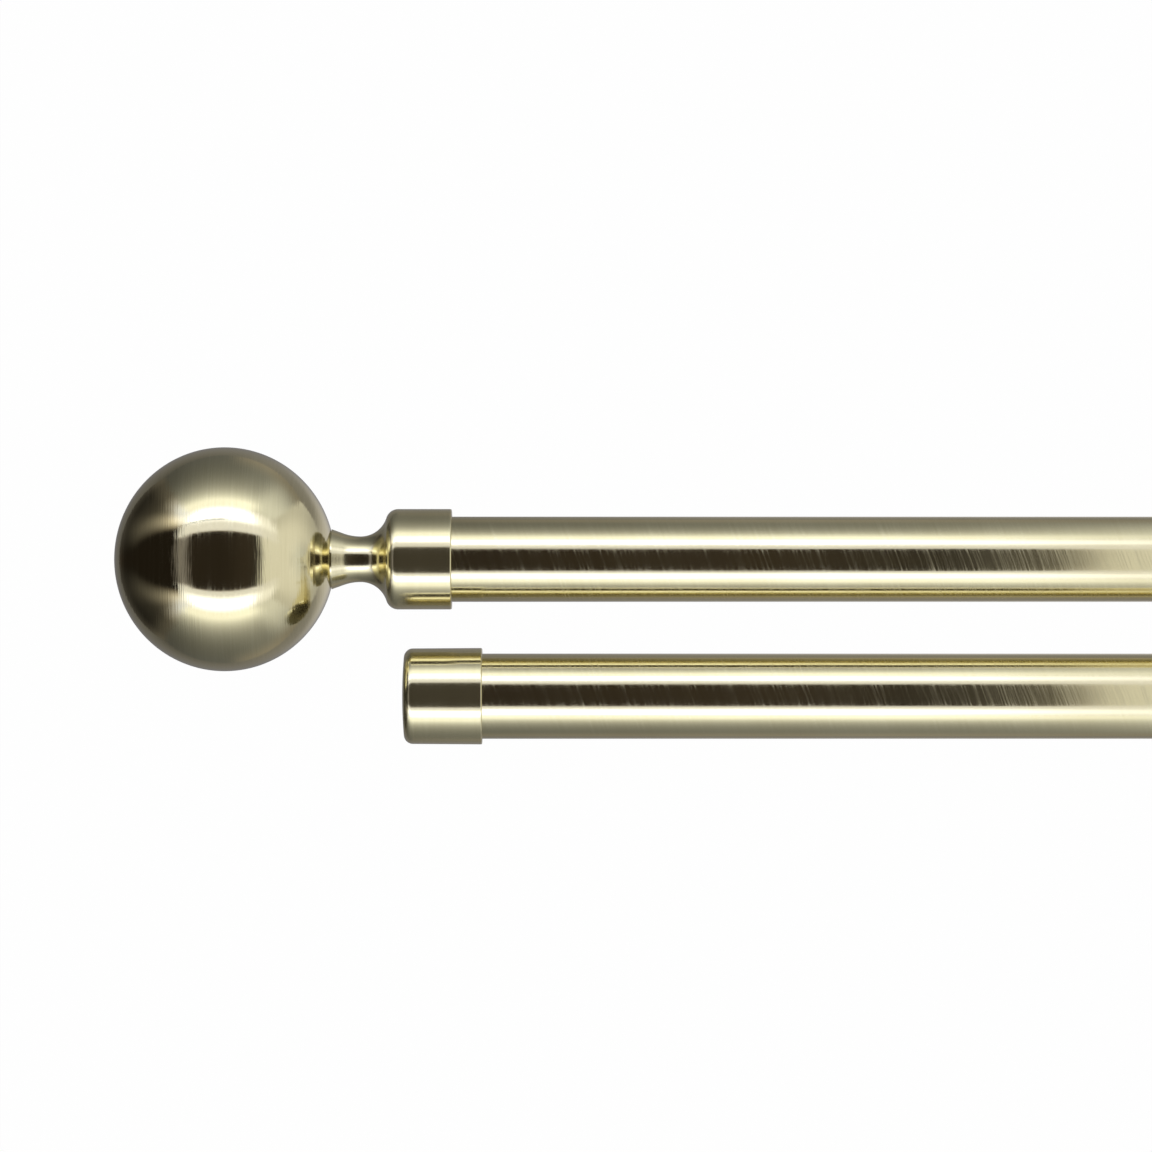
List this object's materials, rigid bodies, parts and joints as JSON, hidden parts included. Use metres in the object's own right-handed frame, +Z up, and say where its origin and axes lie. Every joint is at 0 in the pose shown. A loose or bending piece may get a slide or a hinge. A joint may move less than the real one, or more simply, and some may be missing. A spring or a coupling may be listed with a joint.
{
  "type": "double curtain pole",
  "caption": "Double curtain pole in brushed brass: a front pole with ball finials and a rear pole with plain end caps, carried side by side by double wall brackets.",
  "frame": {"origin": "on the wall's surface, at the centre of the four wall screw holes", "axes": "+X along the poles, +Y into the wall, +Z up"},
  "size_m": [1.3866, 0.1468, 0.0997],
  "materials": {
    "brushed_brass": "brushed satin brass",
    "screw_steel": "plain zinc"
  },
  "bodies": {
    "root": {"front_tube": "brushed_brass", "rear_tube": "brushed_brass", "left_finial_ball": "brushed_brass", "left_finial_holder": "brushed_brass", "left_end_cap": "brushed_brass", "left_wall_plate": "brushed_brass", "left_bracket_arm": "brushed_brass", "left_front_cradle": "brushed_brass", "left_rear_cradle": "brushed_brass", "right_finial_ball": "brushed_brass", "right_finial_holder": "brushed_brass", "right_end_cap": "brushed_brass", "right_wall_plate": "brushed_brass", "right_bracket_arm": "brushed_brass", "right_front_cradle": "brushed_brass", "right_rear_cradle": "brushed_brass", "left_finial_stud": "screw_steel", "right_finial_stud": "screw_steel", "finial_grub_screws": "screw_steel", "arm_screws": "screw_steel", "cradle_screws": "screw_steel", "cradle_grub_screws": "screw_steel"}
  },
  "joints": []
}
